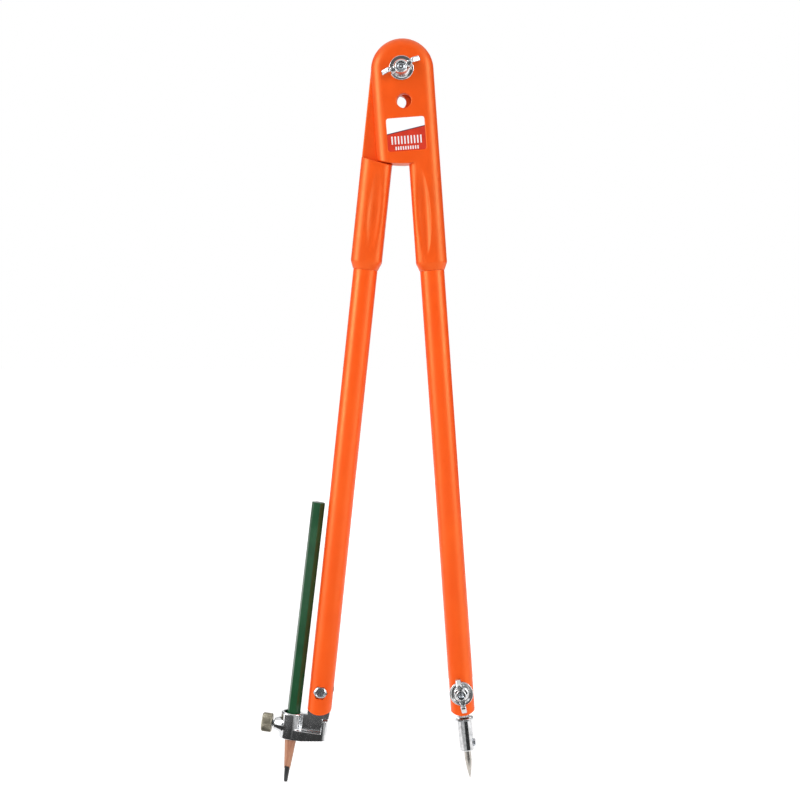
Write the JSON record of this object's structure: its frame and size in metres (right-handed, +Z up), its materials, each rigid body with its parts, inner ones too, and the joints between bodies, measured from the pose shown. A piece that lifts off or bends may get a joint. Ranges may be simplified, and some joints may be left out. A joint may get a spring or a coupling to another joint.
{
  "type": "carpenters compass",
  "caption": "Large carpenters compass with half-lap plastic head, tube legs, tilting needle holder and a clamp that takes a hexagonal pencil.",
  "frame": {"origin": "on the pivot's axis, on the plane where the two head plates meet", "axes": "+Z up along the standing compass, -Y to the front where the pivot's wing nut is, +X to the needle leg"},
  "size_m": [0.1244, 0.0368, 0.4302],
  "materials": {
    "orange_moulding": "satin moulded",
    "orange_tube": "satin powder coat",
    "label_sheet": "glossy printed",
    "dark_plug": "matte",
    "bright_plate": "polished plate",
    "bolt_steel": "zinc plated",
    "needle_steel": "ground",
    "knob_nickel": "knurled, dull nickel",
    "pencil_lacquer": "green lacquer, bare cone",
    "pencil_graphite": "graphite"
  },
  "bodies": {
    "needle_leg": {"needle_leg_head": "orange_moulding", "needle_leg_tube": "orange_tube", "needle_foot_plug": "dark_plug", "head_label": "label_sheet", "needle_foot_bolt": "bolt_steel"},
    "pencil_leg": {"pencil_leg_head": "orange_moulding", "pencil_leg_tube": "orange_tube", "pencil_foot_plug": "dark_plug", "pivot_bolt": "bolt_steel", "pencil_foot_bolt": "bolt_steel"},
    "pivot_washer": {"pivot_washer": "bright_plate"},
    "pivot_nut": {"pivot_wing_nut": "bright_plate"},
    "needle_foot_washer": {"needle_foot_washer": "bright_plate"},
    "needle_foot_nut": {"needle_foot_wing_nut": "bright_plate"},
    "pencil_foot_washer": {"pencil_foot_washer": "bright_plate"},
    "pencil_foot_nut": {"pencil_foot_wing_nut": "bright_plate"},
    "needle_holder": {"needle_holder": "bright_plate", "needle": "needle_steel", "needle_set_screw": "bolt_steel"},
    "pencil_clamp": {"pencil_clamp": "bright_plate"},
    "pencil": {"pencil_barrel": "pencil_lacquer", "pencil_lead": "pencil_graphite"},
    "thumbscrew_stud": {"thumbscrew_stud": "bolt_steel"},
    "thumbscrew_knob": {"thumbscrew_knob": "knob_nickel"}
  },
  "joints": [
    {"name": "leg_spread", "type": "hinge", "parent": "needle_leg", "child": "pencil_leg", "pos_m": [0, 0, 0], "axis": [0, 1, 0], "range_deg": [-10, 140]},
    {"name": "pivot_washer_slide", "type": "slide", "parent": "pencil_leg", "child": "pivot_washer", "axis": [0, -1, 0], "range_m": [0, 0.00161]},
    {"name": "pivot_nut_turn", "type": "hinge", "parent": "pivot_washer", "child": "pivot_nut", "pos_m": [0, 0, 0], "axis": [0, -1, 0], "range_deg": [0, 720]},
    {"name": "needle_tilt", "type": "hinge", "parent": "needle_leg", "child": "needle_holder", "pos_m": [0.03423, 0, -0.35829], "axis": [0, 1, 0], "range_deg": [-80, 85]},
    {"name": "needle_foot_washer_slide", "type": "slide", "parent": "needle_leg", "child": "needle_foot_washer", "axis": [0, -1, 0], "range_m": [0, 0.00141]},
    {"name": "needle_foot_nut_turn", "type": "hinge", "parent": "needle_foot_washer", "child": "needle_foot_nut", "pos_m": [0.03423, 0, -0.35829], "axis": [0, -1, 0], "range_deg": [0, 720]},
    {"name": "clamp_tilt", "type": "hinge", "parent": "pencil_leg", "child": "pencil_clamp", "pos_m": [-0.04694, 0, -0.35906], "axis": [0, -1, 0], "range_deg": [-0.5, 24]},
    {"name": "pencil_foot_washer_slide", "type": "slide", "parent": "pencil_leg", "child": "pencil_foot_washer", "axis": [0, 1, 0], "range_m": [0, 0.00141]},
    {"name": "pencil_foot_nut_turn", "type": "hinge", "parent": "pencil_foot_washer", "child": "pencil_foot_nut", "pos_m": [-0.04694, 0, -0.35906], "axis": [0, 1, 0], "range_deg": [0, 720]},
    {"name": "pencil_slide", "type": "slide", "parent": "pencil_clamp", "child": "pencil", "axis": [0.1184, 0, 0.993], "range_m": [-0.06, 0.02]},
    {"name": "thumbscrew_slide", "type": "slide", "parent": "pencil_clamp", "child": "thumbscrew_stud", "axis": [-0.993, 0, 0.1184], "range_m": [0, 0.00281]},
    {"name": "thumbscrew_turn", "type": "hinge", "parent": "thumbscrew_stud", "child": "thumbscrew_knob", "pos_m": [-0.04958, 0, -0.3812], "axis": [-0.993, 0, 0.1184], "range_deg": [0, 1440]}
  ],
  "couplings": [
    {"joint": "pivot_washer_slide", "follows": "pivot_nut_turn", "m_per_rad": 0.00012732},
    {"joint": "needle_foot_washer_slide", "follows": "needle_foot_nut_turn", "m_per_rad": 0.00011141},
    {"joint": "pencil_foot_washer_slide", "follows": "pencil_foot_nut_turn", "m_per_rad": 0.00011141},
    {"joint": "thumbscrew_slide", "follows": "thumbscrew_turn", "m_per_rad": 0.00011141}
  ]
}
